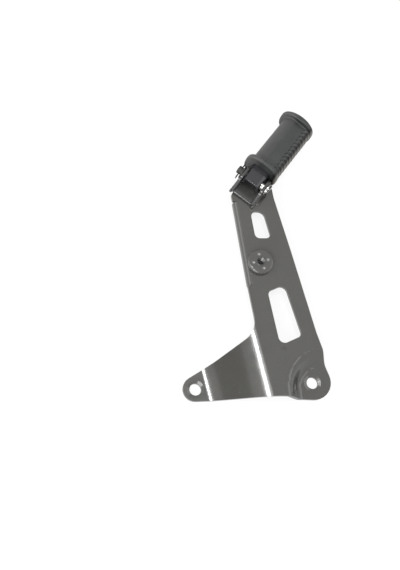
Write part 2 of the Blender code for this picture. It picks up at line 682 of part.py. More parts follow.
def flange_outline():
    half = (FLANGE_WIDTH / 2, FLANGE_HEIGHT / 2)
    points = []
    for turn in range(4):
        points += quarter((FLANGE_SHIFT, 0.0), half, FLANGE_POWER, turn)[:-1]
    return points


def tread_outline(inset, foot):
    """The ribbed side's rounding as y and z, from its foot below to its foot above."""
    size = (TREAD_ROUND - inset, BODY_HEIGHT / 2 - inset)
    centre = (TREAD_ROUND - BODY_TREAD, 0.0)
    over = quarter(centre, size, BODY_POWER, 1)
    under = quarter(centre, size, BODY_POWER, 2)
    return [(foot, over[0][1])] + over + under[1:] + [(foot, under[-1][1])]


def body_outline():
    size = (PLAIN_ROUND, BODY_HEIGHT / 2)
    centre = (BODY_BACK - PLAIN_ROUND, 0.0)
    plain = quarter(centre, size, BODY_POWER, 3) + quarter(centre, size, BODY_POWER, 0)[1:]
    ribbed = tread_outline(RIB_DEPTH, TREAD_ROUND - BODY_TREAD + RIB_BACK)
    return plain + ribbed


def make_ribs():
    """One rib, wrapped round the tread side and repeated at an even pitch."""
    pitch = (RUBBER_LENGTH - 2 * FLANGE) / RIB_COUNT
    first = RUBBER_START + FLANGE + (pitch - RIB_WIDTH) / 2
    outline = tread_outline(0.0, TREAD_ROUND - BODY_TREAD + RIB_BACK)
    ribs = place("ribs", prism("ribs", outline, first, first + RIB_WIDTH, "X"), cutters, pivot)
    soften(ribs, RIB_EDGE, 1, 60.0)
    row = ribs.modifiers.new("Row", "ARRAY")
    row.count = RIB_COUNT
    row.use_relative_offset = False
    row.use_constant_offset = True
    row.constant_offset_displace = (pitch, 0, 0)
    return ribs


def make_dome(centre):
    """A ball whose surface shapes the far end of the rubber."""
    bm = bmesh.new()
    bmesh.ops.create_uvsphere(bm, u_segments=64, v_segments=32, radius=DOME_R)
    mesh = bpy.data.meshes.new("dome")
    bm.to_mesh(mesh)
    bm.free()
    dome = place("dome", mesh, cutters, pivot)
    dome.location = (centre, FLANGE_SHIFT, 0)
    return dome


def make_rubber():
    rubber_black = new_material("peg_rubber", (0.025, 0.025, 0.024), 0.6, 0.0)
    near = RUBBER_START
    far = RUBBER_END
    mesh = prism("peg_rubber", flange_outline(), near, near + FLANGE, "X")
    rubber = place("peg_rubber", mesh, parts, pivot, rubber_black)
    smooth(rubber, SMOOTH_BELOW)
    soften(rubber, FLANGE_ROUND, 2, 60.0)
    end = place("far_flange", prism("far_flange", flange_outline(), far - FLANGE,
                                    far + DOME_RISE + SINK, "X"), cutters, pivot)
    cut(end, make_dome(far + DOME_RISE - DOME_R), "INTERSECT")
    soften(end, FLANGE_ROUND, 2, 40.0)
    body = place("sleeve_body", prism("sleeve_body", body_outline(), near + FLANGE - SINK,
                                      far - FLANGE + SINK, "X"), cutters, pivot)
    smooth(body, SMOOTH_BELOW)
    cut(body, make_ribs(), "UNION")
    cut(rubber, body, "UNION")
    cut(rubber, end, "UNION")
    right = CORE_SHIFT - CORE_WIDTH / 2 - GAP
    left = CORE_SHIFT + CORE_WIDTH / 2 + GAP
    half = CORE_HEIGHT / 2 + GAP
    socket = rounded([(right, -half, 0), (left, -half, 0),
                      (left, half, CORE_BEND_R), (right, half, CORE_BEND_R)])
    bore = place("core_socket", prism("core_socket", socket, near - FLANGE,
                                      far - CORE_END_COVER + GAP, "X"), cutters, pivot)
    cut(rubber, bore)
    return rubber


def centre_on_floor():
    """Moves the whole bracket so that the middle of its floor box is at the origin."""
    bpy.context.view_layer.update()
    depsgraph = bpy.context.evaluated_depsgraph_get()
    corners = []
    for made in parts.objects:
        if made.type == "EMPTY":
            continue
        final = made.evaluated_get(depsgraph)
        mesh = final.to_mesh()
        corners += [final.matrix_world @ v.co for v in mesh.vertices]
        final.to_mesh_clear()
    low = Vector([min(c[i] for c in corners) for i in range(3)])
    high = Vector([max(c[i] for c in corners) for i in range(3)])
    middle = (low + high) / 2
    bracket.location = (-middle.x, -middle.y, -low.z)
    bpy.context.view_layer.update()


clear_scene()
parts = new_collection("rear_footrest_bracket")
cutters = new_collection("cutters")
bracket = new_empty("bracket_datum")
pivot = new_empty("clevis_pivot", bracket)
pivot.location = (*PIVOT_AT, PIVOT_Z)
pivot.rotation_euler = (0, 0, PEG_HEADING)
bpy.context.view_layer.update()

make_side_plate()
make_weld_nut()
make_clevis()
make_weld("weld_bead_left", 1)
make_weld("weld_bead_right", -1)
make_pin()
make_washer("head_washer", EAR_OUTER + GAP)
make_washer("end_washer", -EAR_OUTER - GAP)
make_cotter()
make_core()
make_rubber()
centre_on_floor()
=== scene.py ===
# %% [markdown]
# A folding motorcycle footrest on its pressed steel bracket. The plate was cut and bent from one
# sheet and painted, the peg is a steel channel inside a moulded rubber sleeve, and a zinc-plated
# pin joins the two. Everything could be modelled here from nothing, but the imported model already
# gives the places and sizes. So each piece follows it, and adds what the real one shows besides:
# rounded edges, weld drops, a thread, dimples and a finish.

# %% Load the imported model
import json
import math

import bmesh
import bpy
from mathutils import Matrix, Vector


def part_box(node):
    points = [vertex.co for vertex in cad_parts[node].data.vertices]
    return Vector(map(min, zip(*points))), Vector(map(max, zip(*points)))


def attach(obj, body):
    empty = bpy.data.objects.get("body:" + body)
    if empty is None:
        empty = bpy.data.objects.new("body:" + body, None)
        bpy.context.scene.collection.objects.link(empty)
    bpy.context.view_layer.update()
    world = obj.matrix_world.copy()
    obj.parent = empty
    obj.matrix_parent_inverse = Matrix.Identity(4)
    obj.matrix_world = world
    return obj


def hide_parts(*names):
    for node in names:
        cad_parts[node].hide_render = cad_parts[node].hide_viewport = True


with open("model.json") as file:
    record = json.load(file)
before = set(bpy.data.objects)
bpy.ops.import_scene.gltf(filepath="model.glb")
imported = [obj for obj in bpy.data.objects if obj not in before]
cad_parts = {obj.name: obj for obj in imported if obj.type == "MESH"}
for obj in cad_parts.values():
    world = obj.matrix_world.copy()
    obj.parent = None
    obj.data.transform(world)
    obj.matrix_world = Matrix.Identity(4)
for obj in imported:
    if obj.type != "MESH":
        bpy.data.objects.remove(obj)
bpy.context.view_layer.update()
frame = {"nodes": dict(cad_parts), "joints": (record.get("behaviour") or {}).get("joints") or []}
MM = 0.001
HINGE = frame["joints"][0]
PIVOT = Vector(HINGE["pos_m"])
PIN_AXIS = Vector(HINGE["axis"]).normalized()
print("nodes:", ", ".join(sorted(frame["nodes"])))
print("pivot:", [round(place / MM, 2) for place in PIVOT], "mm")

# %% [markdown]
# The bracket lies flat and is seen from above, a little from its lower left. The camera could be
# placed by eye. Its place and turn were instead fitted to marks on the bracket, such as the bolt
# holes and the round nut, so that each comes out where the picture has it. The lens is a short
# telephoto, so the plate's sides stay almost parallel.

# %% Camera
CAMERA_FROM_PIVOT = Vector((-0.2418, -0.3615, 0.749))
CAMERA_TURN = (19.6381, -11.3445, -5.7254)
LENS = 55.756

camera_data = bpy.data.cameras.new("camera")
camera_data.lens = LENS
camera = bpy.data.objects.new("camera", camera_data)
camera.location = PIVOT + CAMERA_FROM_PIVOT
camera.rotation_euler = [math.radians(turn) for turn in CAMERA_TURN]
bpy.context.scene.collection.objects.link(camera)
bpy.context.scene.camera = camera
bpy.context.scene.view_settings.view_transform = "Standard"
print("camera", round(CAMERA_FROM_PIVOT.length, 3), "m from the pivot")

# %% [markdown]
# A material is a net of nodes, and each wire could be drawn by hand. Shader maths is easier to
# read as sums, so a Wire holds one output, and the signs +, - and * and abs() add the Math nodes.
# A Finish is one material: it makes any node from its kind, its settings and its inputs, and
# hands the wanted output back as a Wire.


# %% Wires and finishes
class Wire:
    """One output in a net of nodes."""

    def __init__(self, tree, socket):
        self.tree = tree
        self.socket = socket

    def maths(self, operation, first, second):
        node = self.tree.nodes.new("ShaderNodeMath")
        node.operation = operation
        for place, value in zip(node.inputs, (first, second)):
            if isinstance(value, Wire):
                self.tree.links.new(value.socket, place)
            else:
                place.default_value = value
        return Wire(self.tree, node.outputs[0])

    def __add__(self, other):
        return self.maths("ADD", self, other)

    def __sub__(self, other):
        return self.maths("SUBTRACT", self, other)

    def __mul__(self, other):
        return self.maths("MULTIPLY", self, other)

    def __abs__(self):
        return self.maths("ABSOLUTE", self, 0.0)

    __radd__ = __add__
    __rmul__ = __mul__


class Finish:
    """One material, with the helpers that build it."""

    def __init__(self, name, metallic=0.0, coat=0.0, coat_roughness=0.1, specular=0.5):
        self.material = bpy.data.materials.new(name)
        self.material.use_nodes = True
        self.tree = self.material.node_tree
        self.shader = self.tree.nodes["Principled BSDF"]
        self.shader.inputs["Metallic"].default_value = metallic
        self.shader.inputs["Coat Weight"].default_value = coat
        self.shader.inputs["Coat Roughness"].default_value = coat_roughness
        self.shader.inputs["Specular IOR Level"].default_value = specular
        self.place = self.node("ShaderNodeTexCoord", {}, {}, "Object")
        print("finish:", name)

    def node(self, kind, settings, inputs, output):
        node = self.tree.nodes.new(kind)
        for name, value in settings.items():
            setattr(node, name, value)
        for name, value in inputs.items():
            self.join(value, node.inputs[name])
        return Wire(self.tree, node.outputs[output])

    def join(self, value, socket):
        if isinstance(value, Wire):
            self.tree.links.new(value.socket, socket)
        else:
            socket.default_value = value

    def noise(self, scale, detail=2.0, roughness=0.5):
        settings = {"noise_dimensions": "3D"}
        inputs = {"Vector": self.place, "Scale": scale, "Detail": detail, "Roughness": roughness}
        return self.node("ShaderNodeTexNoise", settings, inputs, "Fac")

    def distance(self, place):
        """How far a spot of the piece lies from the place."""
        settings = {"operation": "DISTANCE"}
        return self.node("ShaderNodeVectorMath", settings, {0: self.place, 1: place}, "Value")

    def along_pin(self):
        """How far a spot lies from the pivot along the pin. The head's side counts as plus."""
        settings = {"operation": "DOT_PRODUCT"}
        reach = self.node("ShaderNodeVectorMath", settings, {0: self.place, 1: PIN_AXIS}, "Value")
        return reach - PIVOT.dot(PIN_AXIS)

    def step(self, value, low, high):
        """Rises from zero at low to one at high, and stays level outside them."""
        inputs = {"Value": value, "From Min": low, "From Max": high}
        return self.node("ShaderNodeMapRange", {"clamp": True}, inputs, "Result")

    def blend(self, share, first, second):
        node = self.tree.nodes.new("ShaderNodeMix")
        node.data_type = "RGBA"
        for place, value in zip((0, 6, 7), (share, first, second)):
            self.join(value, node.inputs[place])
        return Wire(self.tree, node.outputs[2])

    def colour(self, value):
        self.join(value, self.shader.inputs["Base Color"])

    def roughness(self, value):
        self.join(value, self.shader.inputs["Roughness"])

    def bump(self, height, depth):
        inputs = {"Height": height, "Distance": depth, "Strength": 1.0}
        relief = self.node("ShaderNodeBump", {}, inputs, "Normal")
        self.join(relief, self.shader.inputs["Normal"])


# %% [markdown]
# Gloss shows the room, so the room is made for the gloss. One large lamp would light the bracket
# well enough, but the real plate has thin white streaks along the arm's two bends. A narrow bright
# tube above the arm gives them, and two wider and dimmer lamps behind it the soft glow beside
# them. The front glow is the bright crescent at the first bolt hole. The front and corner panels
# shine in the clevis's near edge, the pin, the nut's rim and the ribs. The right panel draws the
# lines of the pressed-down ear and the sheen along the rubber, and the left one fills in evenly.


# %% Lamps
def lamp(name, place, size, radiance, aim=None):
    """A rectangle of light. Without an aim it shines straight down."""
    below = Vector((place[0], place[1], 0))
    target = below if aim is None else Vector(aim)
    data = bpy.data.lights.new(name, "AREA")
    data.shape = "RECTANGLE"
    data.size, data.size_y = size
    data.energy = radiance * math.pi * size[0] * size[1]
    made = bpy.data.objects.new(name, data)
    made.location = place
    made.rotation_euler = (target - Vector(place)).to_track_quat("-Z", "Y").to_euler()
    bpy.context.scene.collection.objects.link(made)
    print(name, round(data.energy, 1), "W")


MIDDLE = (0, 0, 0)
lamp("tube", place=(0.0, 0.12, 1.3), size=(0.085, 0.36), radiance=36)
lamp("tube_glow", place=(0.03, 0.12, 1.32), size=(0.24, 0.4), radiance=3.2)
lamp("tube_haze", place=(-0.04, 0.12, 1.33), size=(0.46, 0.5), radiance=0.9)
lamp("front_glow", place=(-0.08, -0.2, 1.3), size=(0.26, 0.3), radiance=7)
lamp("front_panel", place=(-0.63, -1.06, 0.78), size=(0.7, 0.6), radiance=8, aim=MIDDLE)
lamp("corner_panel", place=(-1.1, -0.62, 0.8), size=(0.8, 0.6), radiance=3.5, aim=MIDDLE)
lamp("left_panel", place=(-1.3, 0.1, 0.8), size=(1.4, 1.6), radiance=1.8, aim=MIDDLE)
lamp("right_panel", place=(1.3, 0.2, 1.1), size=(1.0, 1.4), radiance=1.3, aim=MIDDLE)

# %% [markdown]
# The table is a plain white sheet. Stronger lamps could make it white, but they would wash out the
# bracket. So the table and the room are white by a glow of their own, which shows only when they
# are seen directly or mirrored in gloss. A dark card hangs above the left half. Only gloss sees
# it, and it keeps the arm's web darker than the flat of the plate.

# %% Table, room and card
FLOOR_GLOW = 0.86
AMBIENT = 0.55
PAPER = (0.9, 0.9, 0.9, 1)
CARD_BLACK = (0.1, 0.1, 0.1, 1)


def seen_directly(tree):
    """One for rays from the camera, mirrored rays and rays through glass, and else zero."""
    path = tree.nodes.new("ShaderNodeLightPath")
    rays = [Wire(tree, path.outputs[name])
            for name in ("Is Camera Ray", "Is Glossy Ray", "Is Transmission Ray")]
    return rays[0] + rays[1] + rays[2]


def white_world():
    """A world that looks white and lights the bracket less than it shows."""
    world = bpy.data.worlds.new("studio")
    bpy.context.scene.world = world
    world.use_nodes = True
    tree = world.node_tree
    backdrop = tree.nodes["Background"]
    backdrop.inputs["Color"].default_value = (1, 1, 1, 1)
    strength = seen_directly(tree) * (1 - AMBIENT) + AMBIENT
    tree.links.new(strength.socket, backdrop.inputs["Strength"])


def table_material():
    """White paper that keeps the bracket's shadow, mixed with a glow where it is seen directly."""
    made = bpy.data.materials.new("table_white")
    made.use_nodes = True
    tree = made.node_tree
    tree.nodes.clear()
    paper = tree.nodes.new("ShaderNodeBsdfDiffuse")
    paper.inputs["Color"].default_value = PAPER
    glow = tree.nodes.new("ShaderNodeEmission")
    mix = tree.nodes.new("ShaderNodeMixShader")
    out = tree.nodes.new("ShaderNodeOutputMaterial")
    tree.links.new((seen_directly(tree) * FLOOR_GLOW).socket, mix.inputs[0])
    tree.links.new(paper.outputs[0], mix.inputs[1])
    tree.links.new(glow.outputs[0], mix.inputs[2])
    tree.links.new(mix.outputs[0], out.inputs[0])
    return made


def card_material():
    made = bpy.data.materials.new("card_black")
    made.use_nodes = True
    made.node_tree.nodes["Principled BSDF"].inputs["Base Color"].default_value = CARD_BLACK
    return made


def stage_plane(name, size, place, material):
    """A flat sheet that belongs to the room and not to the bracket."""
    bpy.ops.object.select_all(action="DESELECT")
    bpy.ops.mesh.primitive_plane_add(size=1, location=place)
    made = bpy.context.object
    made.scale = (*size, 1)
    made.name = name
    made.data.materials.append(material)
    print(name, size, "m")
    return made


white_world()
stage_plane("table", size=(6, 6), place=MIDDLE, material=table_material())
card = stage_plane("card", size=(0.6, 0.6), place=(-0.31, 0.04, 1.4), material=card_material())
card.visible_camera = False
card.visible_diffuse = False
card.visible_shadow = False

# %% [markdown]
# The plate and its nut are painted a glossy gunmetal grey, and the clevis and the peg's core a
# flatter black. One flat colour would pass from far away. Sprayed paint is never that even, so
# its tone drifts slowly, a few specks of dust lie on it, and a faint ripple about a millimetre
# across breaks the streaks up a little. In the nut's dimples a paler colour is painted on as a
# highlight.

# %% Painted steel
GUNMETAL = ((0.043, 0.0415, 0.038, 1), (0.058, 0.057, 0.053, 1))
CLEVIS_BLACK = ((0.032, 0.032, 0.031, 1), (0.044, 0.044, 0.043, 1))
CORE_BLACK = ((0.018, 0.018, 0.021, 1), (0.026, 0.026, 0.030, 1))
DUST = (0.3, 0.29, 0.27, 1)
# Painted highlight for the nut's dimples: a paler colour, and the distances over which it fades in.
PAINTED_DIMPLE_HIGHLIGHT = (0.20, 0.20, 0.19, 1)
HIGHLIGHT_OUTSIDE = 1.9 * MM
HIGHLIGHT_INSIDE = 0.5 * MM
COAT_ROUGHNESS = 0.06
RIPPLE = 0.004 * MM


def paint(name, tones, gloss, coat, specular, lit_spots=()):
    """Drifts between two tones, with specks of dust, and painted highlights round the given places.
    """
    finish = Finish(name, coat=coat, coat_roughness=COAT_ROUGHNESS, specular=specular)
    specks = finish.step(finish.noise(scale=1500, detail=1), 0.70, 0.78)
    tone = finish.blend(finish.noise(scale=28, detail=3), tones[0], tones[1])
    # Each place gets a paler spot, which is a painted highlight.
    for place in lit_spots:
        spot = finish.step(finish.distance(place), HIGHLIGHT_OUTSIDE, HIGHLIGHT_INSIDE)
        tone = finish.blend(spot, tone, PAINTED_DIMPLE_HIGHLIGHT)
    finish.colour(finish.blend(0.25 * specks, tone, DUST))
    finish.roughness(gloss + 0.1 * finish.noise(scale=90, detail=4) + 0.2 * specks)
    finish.bump(finish.noise(scale=420) + 0.3 * finish.noise(scale=1400, detail=1), RIPPLE)
    return finish.material


PLATE_PAINT = paint("plate_paint", GUNMETAL, gloss=0.06, coat=0.35, specular=0.5)
CLEVIS_PAINT = paint("clevis_paint", CLEVIS_BLACK, gloss=0.2, coat=0.4, specular=0.35)
CORE_PAINT = paint("core_paint", CORE_BLACK, gloss=0.2, coat=0.3, specular=0.35)

# %% [markdown]
# The pin, its washers and the split pin are zinc plated. A picture of worn metal could be wrapped
# round them, but noise needs no picture and fits any shape. The shine drifts from patch to patch,
# and a fine grain stands for the marks of turning. Away from the head the zinc is darker and
# duller, and a band round the side of the head, between its two rims, is painted shade.

# %% Zinc plate
ZINC_DARK = (0.22, 0.21, 0.20, 1)
ZINC_LIGHT = (0.46, 0.46, 0.44, 1)
# Darker and duller towards the end away from the head.
FAR_END_ZINC = (0.055, 0.055, 0.053, 1)
# Painted shade: a dark band round the side of the pin's head, between its two rims.
HEAD_SHADE = (0.03, 0.03, 0.03, 1)
DARK_UNTIL = -2.0 * MM
BRIGHT_FROM = 6.0 * MM
HEAD_SHADE_INSET = 0.95 * MM
HEAD_SHADE_OUTSIDE = 0.75 * MM
HEAD_SHADE_INSIDE = 0.35 * MM
TURNING_MARKS = 0.006 * MM


def head_reach():
    """How far the pin reaches from the pivot on its head's side."""
    pin = frame["nodes"]["pivot_pin"]
    return max((pin.matrix_world @ corner.co - PIVOT).dot(PIN_AXIS) for corner in pin.data.vertices)


def zinc_plate():
    finish = Finish("zinc", metallic=1.0)
    cloud = finish.noise(scale=160, detail=4, roughness=0.6)
    reach = finish.along_pin()
    # The zinc turns darker and duller away from the head.
    near_head = finish.step(reach, DARK_UNTIL, BRIGHT_FROM)
    # A band round the head's side is darkened as painted shade.
    from_head_shade = abs(reach - (head_reach() - HEAD_SHADE_INSET))
    head_shade = finish.step(from_head_shade, HEAD_SHADE_OUTSIDE, HEAD_SHADE_INSIDE)
    shade = finish.blend(head_shade, finish.blend(cloud, ZINC_DARK, ZINC_LIGHT), HEAD_SHADE)
    finish.colour(finish.blend(near_head, FAR_END_ZINC, shade))
    finish.roughness(0.5 + 0.2 * cloud - 0.34 * near_head)
    finish.bump(finish.noise(scale=2600), TURNING_MARKS)
    return finish.material


ZINC = zinc_plate()
print("the pin's head ends", round(head_reach() / MM, 2), "mm from the pivot")

# %% [markdown]
# The rubber is moulded and black, with a fine grain that keeps its shine soft. Its light and shade
# could be painted on by hand. Here they follow the distance from the pivot along the pin, which
# needs no picture either: the left side is painted paler as if lit, a band of the tread on the
# right is painted darkest as shade, and the ribs beyond it get a painted highlight.

# %% Moulded rubber
RUBBER_DARK = (0.011, 0.012, 0.012, 1)
RUBBER_LIGHT = (0.028, 0.030, 0.029, 1)
# Painted light: the colour that makes the left side paler, as if lit.
PAINTED_LIT_SIDE = (0.050, 0.050, 0.049, 1)
# Painted shade on a band of the tread on the right.
PAINTED_SHADE_BAND = (0.004, 0.004, 0.004, 1)
# Painted highlight on the ribs beyond that band.
PAINTED_RIB_HIGHLIGHT = (0.140, 0.134, 0.122, 1)
LIT_SIDE_FROM = -3.0 * MM
LIT_SIDE_FULL = -11.0 * MM
LIT_SIDE_DRIFT = 4.0 * MM
SHADE_BAND_FROM = 10.8 * MM
SHADE_BAND_FULL = 12.0 * MM
RIB_HIGHLIGHT_FROM = 13.4 * MM
RIB_HIGHLIGHT_FULL = 15.4 * MM
RUBBER_GRAIN = 0.04 * MM


def moulded_rubber():
    finish = Finish("rubber")
    cloud = finish.step(finish.noise(scale=60, detail=5, roughness=0.6), 0.35, 0.75)
    grain = finish.noise(scale=3200)
    reach = finish.along_pin()
    # Painted light: the left side turns paler from a slightly wavering line.
    drift = LIT_SIDE_DRIFT * (finish.noise(scale=90, detail=3) - 0.5)
    lit_side = finish.step(reach + drift, LIT_SIDE_FROM, LIT_SIDE_FULL)
    # Painted shade: a band of the tread on the right is darkened.
    shade_band = finish.step(reach, SHADE_BAND_FROM, SHADE_BAND_FULL)
    # Painted highlight: the ribs beyond the darkened band are made paler.
    rib_highlight = finish.step(reach, RIB_HIGHLIGHT_FROM, RIB_HIGHLIGHT_FULL)
    tone = finish.blend(cloud, RUBBER_DARK, RUBBER_LIGHT)
    tone = finish.blend(lit_side, tone, PAINTED_LIT_SIDE)
    tone = finish.blend(shade_band, tone, PAINTED_SHADE_BAND)
    finish.colour(finish.blend(rib_highlight, tone, PAINTED_RIB_HIGHLIGHT))
    finish.roughness(0.42 + 0.14 * cloud + 0.1 * grain)
    finish.bump(grain + 0.8 * finish.noise(scale=500, detail=3), RUBBER_GRAIN)
    return finish.material


RUBBER = moulded_rubber()

# %% [markdown]
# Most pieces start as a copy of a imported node. They could be drawn again, but a copy can't miss
# its size. Its triangles are loose, so they are merged and its flat faces made whole before the
# edges are rounded. Real sheet and turned metal never has a razor edge, and it is this rounding
# that catches the light. Plain smooth shading would bend the light right across a flat face, so
# each flat face keeps its own normal, and only a rounded edge turns from one to the next.

# %% Starting and finishing a piece
MERGE_DISTANCE = 0.005 * MM
SAME_PLANE = math.radians(0.3)
FLAT_FACES = 0
ROUNDED_EDGES = 1


def pick(piece):
    """Selects this piece and no other, because operators act on all that is selected."""
    bpy.ops.object.select_all(action="DESELECT")
    piece.select_set(True)
    bpy.context.view_layer.objects.active = piece


def copy_node(node, name):
    """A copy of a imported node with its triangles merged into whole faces."""
    mesh = frame["nodes"][node].data.copy()
    mesh.materials.clear()
    piece = bpy.data.objects.new(name, mesh)
    bpy.context.scene.collection.objects.link(piece)
    pick(piece)
    bpy.ops.mesh.customdata_custom_splitnormals_clear()
    bpy.ops.object.mode_set(mode="EDIT")
    bpy.ops.mesh.select_all(action="SELECT")
    bpy.ops.mesh.remove_doubles(threshold=MERGE_DISTANCE)
    bpy.ops.mesh.dissolve_limited(angle_limit=SAME_PLANE)
    bpy.ops.object.mode_set(mode="OBJECT")
    return piece


def apply_all(piece):
    """Makes the piece's modifiers part of its mesh, in their order."""
    pick(piece)
    for step in list(piece.modifiers):
        bpy.ops.object.modifier_apply(modifier=step.name)


def round_edges(piece, width, segments=2, sharper_than=40.0, new_faces=ROUNDED_EDGES, clamp=True):
    """Bevels the sharp edges. The material slot of the new faces says how they are shaded."""
    piece.data.materials.append(None)
    piece.data.materials.append(None)
    bevel = piece.modifiers.new("rounded edges", "BEVEL")
    bevel.width = width
    bevel.segments = segments
    bevel.limit_method = "ANGLE"
    bevel.angle_limit = math.radians(sharper_than)
    bevel.use_clamp_overlap = clamp
    bevel.material = new_faces
    apply_all(piece)
    piece.data.validate()


def even_shading(piece, gentle):
    """Gives each flat face its own normal, blended only with those it bends into gently. A
    rounded edge then turns from the normal of one face to that of the other."""
    shape = bmesh.new()
    shape.from_mesh(piece.data)
    shape.normal_update()
    normals = [None] * len(piece.data.loops)

    def blend(corner):
        total = Vector()
        for other in corner.vert.link_loops:
            if (other.face.material_index == corner.face.material_index
                    and other.face.normal.angle(corner.face.normal, 0) < gentle):
                total += other.face.normal * other.calc_angle()
        return total.normalized() if total.length > 0 else corner.face.normal.copy()

    for face in shape.faces:
        for corner in face.loops:
            flats = [other for other in corner.vert.link_loops
                     if other.face.material_index == FLAT_FACES]
            if face.material_index == ROUNDED_EDGES and flats:
                nearest = min(flats, key=lambda other: other.face.normal.angle(face.normal, 0))
                normals[corner.index] = blend(nearest)
            else:
                normals[corner.index] = blend(corner)
    shape.free()
    piece.data.normals_split_custom_set(normals)


def finish_piece(piece, body, node, material, gentle=35.0):
    """Shades the piece, paints it and says what it stands for. Gentle bends, in degrees, blend."""
    pick(piece)
    bpy.ops.object.shade_smooth()
    even_shading(piece, math.radians(gentle))
    for face in piece.data.polygons:
        face.material_index = 0
    piece.data.materials.clear()
    piece.data.materials.append(material)
    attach(piece, body)
    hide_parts(node)
    print(piece.name, len(piece.data.polygons), "faces")


# %% [markdown]
# The side plate is one blank of 3.2 mm sheet, bent up gently towards the first ear, pressed down
# round the second, and folded over along its left edge to stiffen it. It could be bent here once
# more, but the copy has every bend already. Its bends are rows of narrow strips. Only strips that
# meet at a few degrees are blended, so that each long bend mirrors the tube as one clean streak.

# %% Side plate
SHEET_ROUNDING = 0.5 * MM
STRIP_ANGLE = 9.6

plate = copy_node("side_plate", "plate_sheet")
round_edges(plate, SHEET_ROUNDING, sharper_than=50.0)
finish_piece(plate, "bracket", "side_plate", PLATE_PAINT, gentle=STRIP_ANGLE)

# %% [markdown]
# The weld nut is turned: a round flange with a collar, a spigot through the plate and a thread.
# It could be stacked from cylinders. Instead its outline is drawn once, as radius and height, and
# the spin operator turns it round the axis, as the lathe does, so that all its roundings come from
# one line. The thread is a row of rings, because in so small a bore nobody sees it climb.

# %% Turned pieces
SPIN_STEPS = 72
SEAM_DISTANCE = 0.002 * MM


def turned(name, outline):
    """Spins an outline of radius and height points round the upright axis."""
    mesh = bpy.data.meshes.new(name)
    points = [(radius, 0, height) for radius, height in outline]
    edges = [(i, i + 1) for i in range(len(points) - 1)]
    mesh.from_pydata(points, edges, [])
    piece = bpy.data.objects.new(name, mesh)
    bpy.context.scene.collection.objects.link(piece)
    pick(piece)
    bpy.ops.object.mode_set(mode="EDIT")
    bpy.ops.mesh.select_all(action="SELECT")
    bpy.ops.mesh.spin(steps=SPIN_STEPS, angle=2 * math.pi, center=(0, 0, 0), axis=(0, 0, 1))
    bpy.ops.mesh.select_all(action="SELECT")
    bpy.ops.mesh.remove_doubles(threshold=SEAM_DISTANCE)
    bpy.ops.mesh.normals_make_consistent(inside=False)
    bpy.ops.object.mode_set(mode="OBJECT")
    return piece


# %% Weld nut
COLLAR_HEIGHT = 0.8 * MM
FLANGE_THICKNESS = 4.0 * MM

nut_low, nut_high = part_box("weld_nut")
NUT_CENTRE = (nut_low + nut_high) / 2
FACE_TOP = nut_high.z - COLLAR_HEIGHT
NUT_BASE = FACE_TOP - FLANGE_THICKNESS

# The outline's own sizes are plain millimetres.
NUT_RADIUS = 12.4
RIM = 1.5
COLLAR = 4.4
COLLAR_EDGE = 0.08
COLLAR_TAPER = 0.06
COLLAR_FOOT = 0.16
SPIGOT = 5.4
SPIGOT_EDGE = 0.5
NUT_BORE = 2.9
COUNTERSINK = 1.0
COUNTERSINK_DEPTH = 1.1
THREAD_PITCH = 1.25
THREAD_DEPTH = 0.5
THREAD_STEPS = (0.25, 0.65, 0.8)
THREAD_END = 1.9


def nut_outline():
    """Runs from the collar over the rim and down the spigot, then up the bore."""
    face = FACE_TOP / MM
    top = nut_high.z / MM
    foot = nut_low.z / MM
    base = NUT_BASE / MM
    turns = [math.radians(turn) for turn in (90, 75, 60, 45, 30, 15, 0)]
    rim = [(NUT_RADIUS - RIM + RIM * math.cos(turn), face - RIM + RIM * math.sin(turn))
           for turn in turns]
    outline = [
        (NUT_BORE + COUNTERSINK, top), (COLLAR - COLLAR_EDGE, top), (COLLAR, top - COLLAR_EDGE),
        (COLLAR + COLLAR_TAPER, face + COLLAR_EDGE), (COLLAR + COLLAR_FOOT, face), *rim,
        (NUT_RADIUS, base), (SPIGOT, base), (SPIGOT, foot + SPIGOT_EDGE),
        (SPIGOT - SPIGOT_EDGE, foot), (NUT_BORE + THREAD_DEPTH, foot)]
    height = foot + THREAD_DEPTH
    crest_end, groove_start, groove_end = THREAD_STEPS
    while height < top - THREAD_END:
        outline += [(NUT_BORE, height), (NUT_BORE, height + crest_end),
                    (NUT_BORE + THREAD_DEPTH, height + groove_start),
                    (NUT_BORE + THREAD_DEPTH, height + groove_end)]
        height += THREAD_PITCH
    outline += [(NUT_BORE, top - COUNTERSINK_DEPTH)]
    return [(radius * MM, z * MM) for radius, z in outline + outline[:1]]


nut = turned("round_weld_nut", nut_outline())
nut.location = (NUT_CENTRE.x, NUT_CENTRE.y, 0)
print("nut", 2 * NUT_RADIUS, "mm across")

# %% [markdown]
# Four shallow dimples show where the welding electrode pressed. Bump alone could draw them, but
# then the nut's own shape would stay flat there. So each is a ball sunk a little way into the face
# and taken away with a Boolean. The nut has the plate's paint, a little duller, with a painted
# highlight in each dimple.

# %% Dimples in the nut
DIMPLE_BALL = 3.2 * MM
DIMPLE_DEPTH = 0.5 * MM
DIMPLE_CIRCLE = 7.3 * MM
DIMPLE_TURNS = (10, 98, 188, 288)


def settle(piece):
    """Puts a piece's place into its mesh."""
    pick(piece)
    bpy.ops.object.transform_apply(location=True, rotation=True, scale=True)


